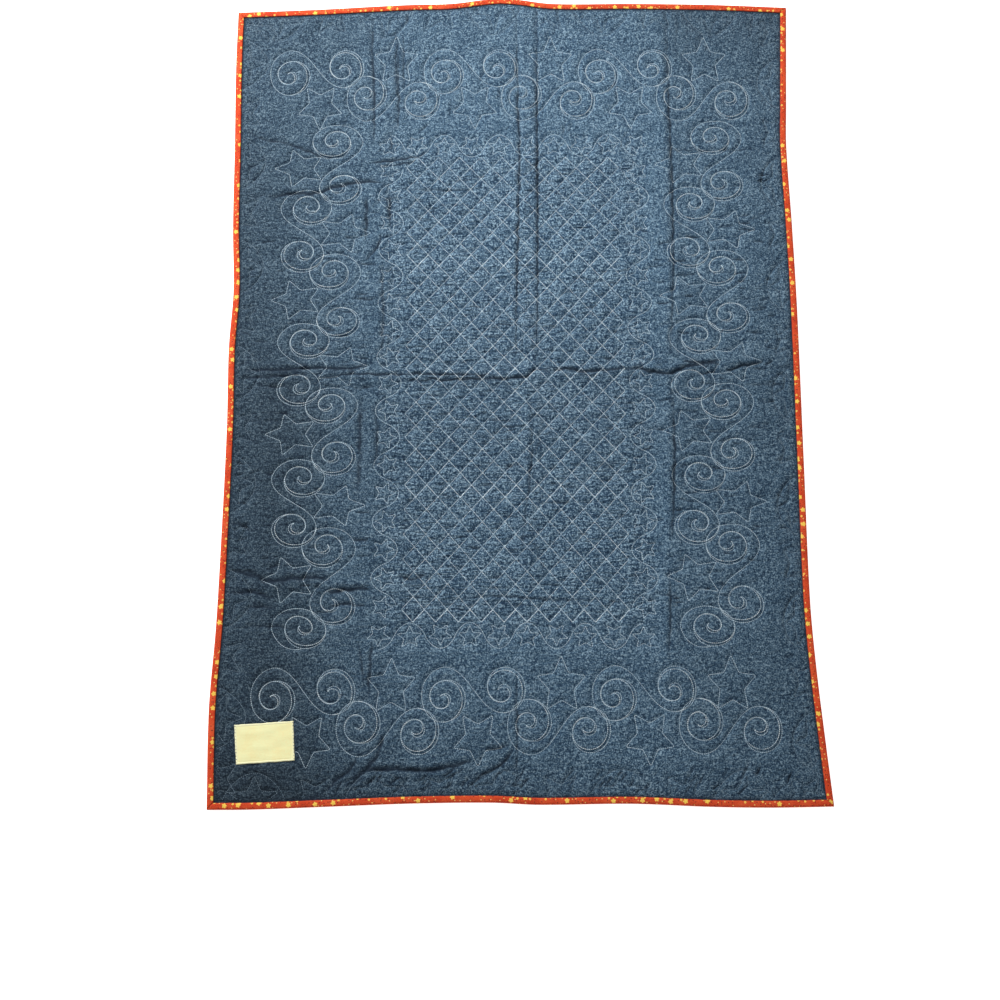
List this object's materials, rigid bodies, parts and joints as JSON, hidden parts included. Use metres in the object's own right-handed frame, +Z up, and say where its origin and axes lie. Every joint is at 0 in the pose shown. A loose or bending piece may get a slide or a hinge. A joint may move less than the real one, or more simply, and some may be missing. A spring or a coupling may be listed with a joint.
{
  "type": "machine-quilted lap quilt, laid flat with its denim backing up",
  "caption": "Lap quilt lying flat, backing side up: raised machine quilting of swirls, stars and diamonds, mitred printed binding and a bare cloth label.",
  "frame": {"origin": "on the surface that the quilt rests on, below the middle of its box", "axes": "+Z up out of the backing, +Y towards the quilt's top edge, +X to the right seen from above with the label at the lower left"},
  "size_m": [1.054, 1.5266, 0.009],
  "materials": {
    "backing": "heathered blue denim chambray, matt, quilted with pale thread",
    "binding": "red-orange cotton with small yellow stars and dots, matt",
    "label": "plain cream cotton, matt"
  },
  "bodies": {
    "root": {"quilt_body": "backing", "binding_top": "binding", "binding_bottom": "binding", "binding_left": "binding", "binding_right": "binding", "label": "label"}
  },
  "joints": []
}
